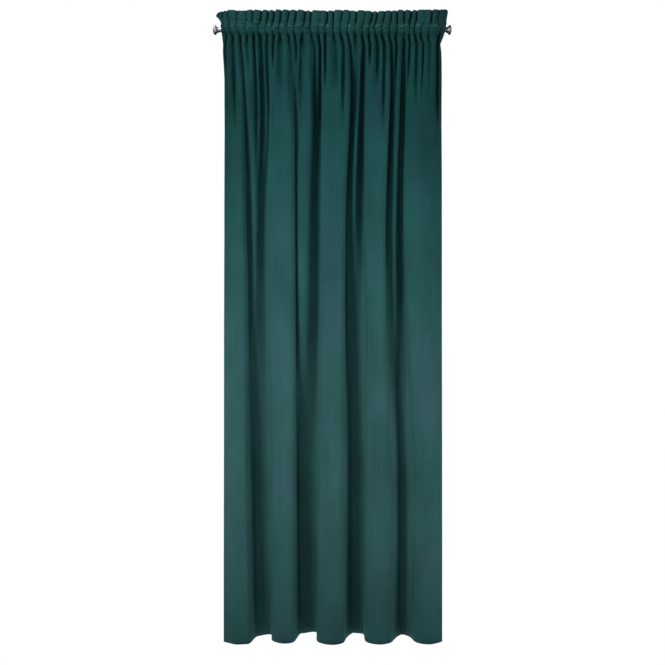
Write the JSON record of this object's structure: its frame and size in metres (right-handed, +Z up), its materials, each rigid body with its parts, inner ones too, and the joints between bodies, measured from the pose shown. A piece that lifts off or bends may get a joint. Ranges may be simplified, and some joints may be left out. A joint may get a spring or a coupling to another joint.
{
  "type": "curtain panel on rod",
  "caption": "Full-length velvet curtain panel with a gathered ruffle heading, hanging in soft vertical folds from a plain metal rod with flared end caps.",
  "frame": {"origin": "middle of the rod's axis, level with the middle of the rod pocket", "axes": "+Z up, +X along the rod to the viewer's right, and the curtain's front faces -Y"},
  "size_m": [1.014, 0.1132, 2.671],
  "materials": {
    "velvet": "short cut pile, matt with a soft sheen at grazing angles",
    "rod_metal": "satin",
    "finial_metal": "polished"
  },
  "bodies": {
    "root": {"curtain_panel": "velvet", "rod": "rod_metal", "finial_left": "finial_metal", "finial_right": "finial_metal"}
  },
  "joints": []
}
